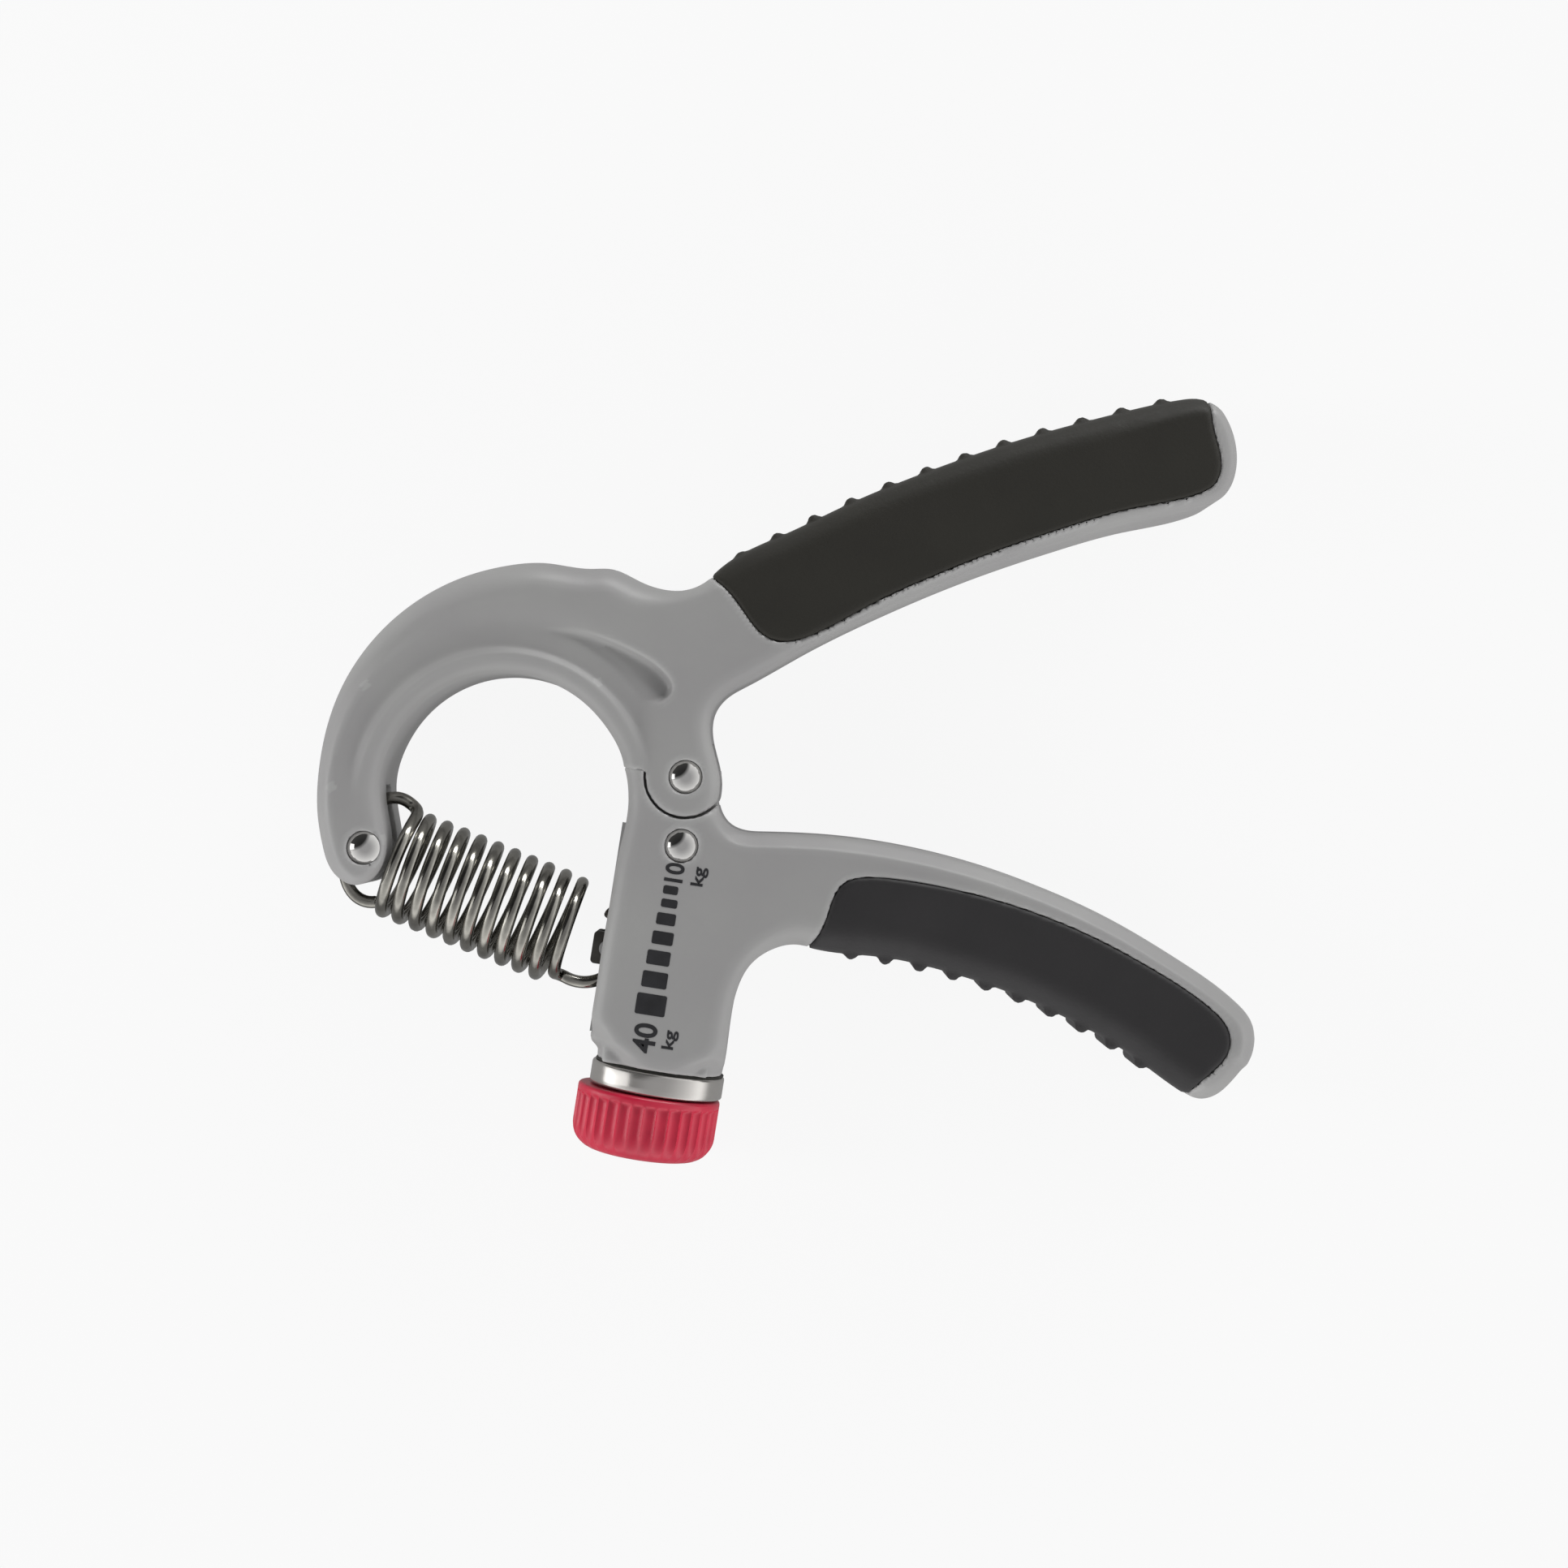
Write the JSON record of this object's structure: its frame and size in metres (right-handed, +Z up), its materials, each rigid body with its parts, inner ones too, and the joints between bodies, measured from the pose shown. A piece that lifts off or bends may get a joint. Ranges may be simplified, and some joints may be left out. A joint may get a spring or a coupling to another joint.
{
  "type": "adjustable hand grip dynamometer",
  "caption": "Spring hand gripper for grip-strength exercise: two curved rubber-faced handles on a rivet hinge, an extension spring and a screw knob that sets the load.",
  "frame": {"origin": "middle of the footprint, on the surface that the gripper lies on", "axes": "+X along the handles towards their tips, +Y from the knob to the upper handle along the screw, +Z up through the handles' thickness, along the hinge rivet"},
  "size_m": [0.1378, 0.1197, 0.021],
  "materials": {
    "grey_shell": "satin",
    "grip_rubber": "matt",
    "red_knob": "satin",
    "chrome": "polished",
    "spring_steel": "bright drawn wire",
    "plated_steel": "zinc plated",
    "dark_steel": "blackened",
    "brass": "turned",
    "washer_nylon": "natural nylon"
  },
  "bodies": {
    "lower_handle": {"lower_handle": "grey_shell", "lower_grip": "grip_rubber", "guide_channel": "plated_steel", "anchor_rivet": "chrome", "anchor_rivet_cap": "chrome", "screw_top_bush": "washer_nylon", "end_plug": "washer_nylon", "end_collar": "chrome", "pivot_bush": "brass", "pivot_washers": "washer_nylon"},
    "upper_handle": {"upper_handle": "grey_shell", "upper_grip": "grip_rubber", "pivot_rivet": "chrome", "pivot_rivet_cap": "chrome", "arm_rivet": "chrome", "arm_rivet_cap": "chrome"},
    "arm_bush": {"arm_bush": "dark_steel"},
    "spring": {"tension_spring": "spring_steel"},
    "spring_hook": {"spring_nut_hook": "spring_steel"},
    "nut": {"slide_nut": "dark_steel", "nut_cross_pin": "plated_steel"},
    "knob": {"adjusting_knob": "red_knob", "knob_insert": "brass", "knob_screw": "plated_steel", "lead_screw": "plated_steel", "retaining_clip": "plated_steel"}
  },
  "joints": [
    {"name": "squeeze", "type": "hinge", "parent": "lower_handle", "child": "upper_handle", "pos_m": [-0.0166, -0.0049, 0.0105], "axis": [0, 0, -1], "range_deg": [0, 45], "stiffness_Nm_per_rad": 1.6, "springref_deg": -21.49},
    {"name": "bush_roll", "type": "hinge", "parent": "upper_handle", "child": "arm_bush", "pos_m": [-0.06, -0.0219, 0.0105], "axis": [0, 0, 1], "range_deg": [0, 7.6]},
    {"name": "spring_swing", "type": "hinge", "parent": "arm_bush", "child": "spring", "pos_m": [-0.06, -0.0219, 0.0105], "axis": [0, 0, -1], "range_deg": [-6, 4.6]},
    {"name": "spring_stretch", "type": "slide", "parent": "spring", "child": "spring_hook", "axis": [0.9687, -0.2482, 0], "range_m": [0, 0.0201], "deforming": ["tension_spring", "spring_nut_hook"]},
    {"name": "knob_turn", "type": "hinge", "parent": "lower_handle", "child": "knob", "pos_m": [-0.015, -0.0549, 0.0105], "axis": [0, 1, 0], "range_deg": [-1848, 1392]},
    {"name": "nut_travel", "type": "slide", "parent": "lower_handle", "child": "nut", "axis": [0, -1, 0], "range_m": [-0.0078, 0.0059]}
  ],
  "couplings": [
    {"joint": "bush_roll", "follows": "squeeze", "ratio": 0.1666},
    {"joint": "spring_stretch", "follows": "squeeze", "m_per_rad": 0.025431},
    {"joint": "spring_swing", "follows": "knob_turn", "ratio": 0.003125},
    {"joint": "nut_travel", "follows": "knob_turn", "m_per_rad": 0.00023873}
  ]
}
